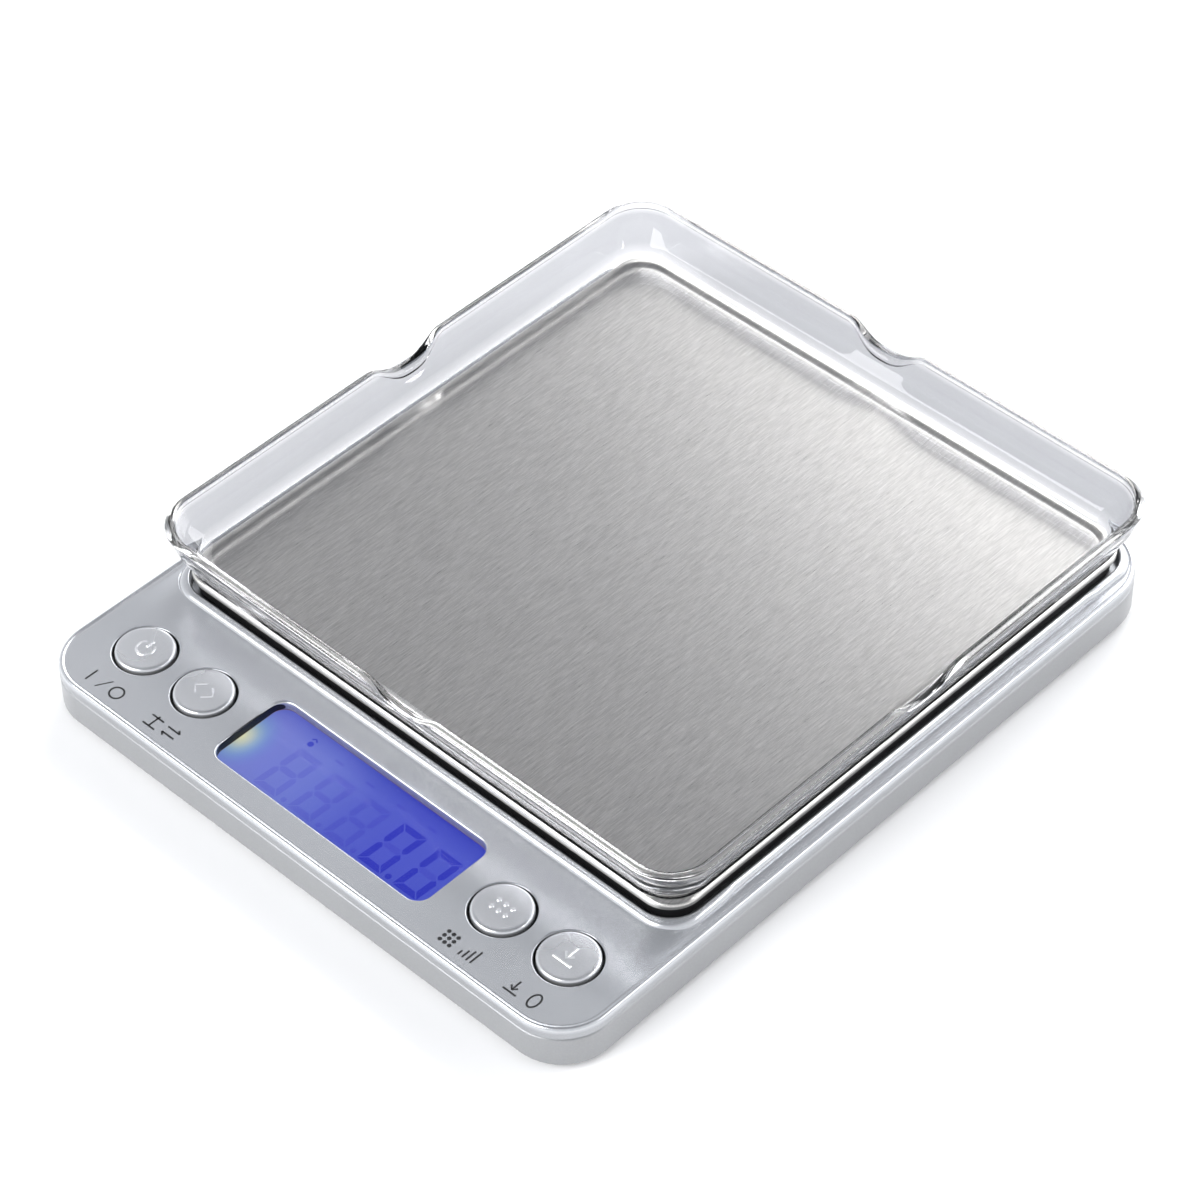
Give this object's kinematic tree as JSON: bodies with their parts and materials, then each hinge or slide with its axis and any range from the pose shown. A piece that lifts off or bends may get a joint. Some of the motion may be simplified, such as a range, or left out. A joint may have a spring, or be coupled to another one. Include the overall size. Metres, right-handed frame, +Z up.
{
  "type": "digital gram scale",
  "caption": "Thin tabletop gram scale: silver case, blue display, round buttons, brushed steel platform and a clear lift-off tray with finger notches.",
  "frame": {"origin": "on the table under the middle of the case", "axes": "+X to the right with the display facing the user, +Y to the back, +Z up"},
  "size_m": [0.106, 0.127, 0.0203],
  "materials": {
    "case_silver": "satin silver lacquer on moulded ABS",
    "base_silver": "moulded silver-grey ABS",
    "button_silver": "satin silver lacquer",
    "stainless": "brushed stainless steel, grain front to back",
    "clear_plastic": "clear moulded polystyrene",
    "black_plastic": "moulded black ABS",
    "lens_clear": "clear acrylic sheet",
    "lcd_blue": "blue backlit liquid crystal panel",
    "light_guide": "frosted light guide",
    "led_white": "white LED",
    "adhesive_brown": "double-sided film",
    "frame_white": "moulded white plastic",
    "elastomer": "conductive elastomer strip",
    "board_green": "solder mask on glass fibre board",
    "chip_black": "moulded epoxy",
    "component_tan": "surface mount parts",
    "switch_metal": "pressed steel dome switches",
    "cell_aluminium": "milled aluminium",
    "potting_white": "white silicone",
    "wire_red": "insulated wire",
    "wire_black": "insulated wire",
    "screw_steel": "zinc plated steel",
    "contact_nickel": "nickel plated spring steel",
    "coin_steel": "stainless cell can",
    "foot_rubber": "grey-black rubber",
    "label_white": "blank paper label",
    "tape_white": "double-sided foam tape",
    "spacer_steel": "aluminium spacer",
    "foam_black": "foam pad"
  },
  "bodies": {
    "case": {"lower_case": "base_silver", "upper_case": "case_silver", "display_window": "lens_clear", "window_adhesive": "adhesive_brown", "lcd_panel": "lcd_blue", "lcd_frame": "frame_white", "backlight_panel": "light_guide", "backlight_led": "led_white", "lcd_connector": "elastomer", "main_board": "board_green", "controller_chip": "chip_black", "board_components": "component_tan", "tact_switches": "switch_metal", "board_screws": "screw_steel", "load_cell": "cell_aluminium", "gauge_potting": "potting_white", "gauge_wires": "wire_red", "load_cell_base_screws": "screw_steel", "battery_wires": "wire_black", "coin_cell_left": "coin_steel", "coin_cell_right": "coin_steel", "battery_link_strip": "contact_nickel", "battery_side_contacts": "contact_nickel", "case_screws": "screw_steel", "rubber_feet": "foot_rubber", "overload_stops": "screw_steel", "blank_label": "label_white"},
    "platform": {"platform_support": "black_plastic", "platform_plate": "stainless", "plate_tapes": "tape_white", "load_cell_spacer": "spacer_steel", "platform_screws": "screw_steel"},
    "tray": {"tray": "clear_plastic"},
    "button_power_cap": {"button_power": "button_silver"},
    "button_mode_cap": {"button_mode": "button_silver"},
    "button_count_cap": {"button_count": "button_silver"},
    "button_tare_cap": {"button_tare": "button_silver"},
    "battery_door": {"battery_door": "base_silver", "battery_door_foam": "foam_black"}
  },
  "joints": [
    {"name": "platform_sink", "type": "slide", "parent": "case", "child": "platform", "axis": [0, 0, -1], "range_m": [0, 0.0004], "stiffness_N_per_m": 75000, "deforming": ["load_cell"]},
    {"name": "tray_lift", "type": "slide", "parent": "platform", "child": "tray", "axis": [0, 0, 1], "range_m": [0, 0.06]},
    {"name": "power_press", "type": "slide", "parent": "case", "child": "button_power_cap", "axis": [0, 0, -1], "range_m": [0, 0.00035], "stiffness_N_per_m": 4000},
    {"name": "mode_press", "type": "slide", "parent": "case", "child": "button_mode_cap", "axis": [0, 0, -1], "range_m": [0, 0.00035], "stiffness_N_per_m": 4000},
    {"name": "count_press", "type": "slide", "parent": "case", "child": "button_count_cap", "axis": [0, 0, -1], "range_m": [0, 0.00035], "stiffness_N_per_m": 4000},
    {"name": "tare_press", "type": "slide", "parent": "case", "child": "button_tare_cap", "axis": [0, 0, -1], "range_m": [0, 0.00035], "stiffness_N_per_m": 4000},
    {"name": "battery_door_slide", "type": "slide", "parent": "case", "child": "battery_door", "axis": [0, 1, 0], "range_m": [0, 0.034]}
  ]
}
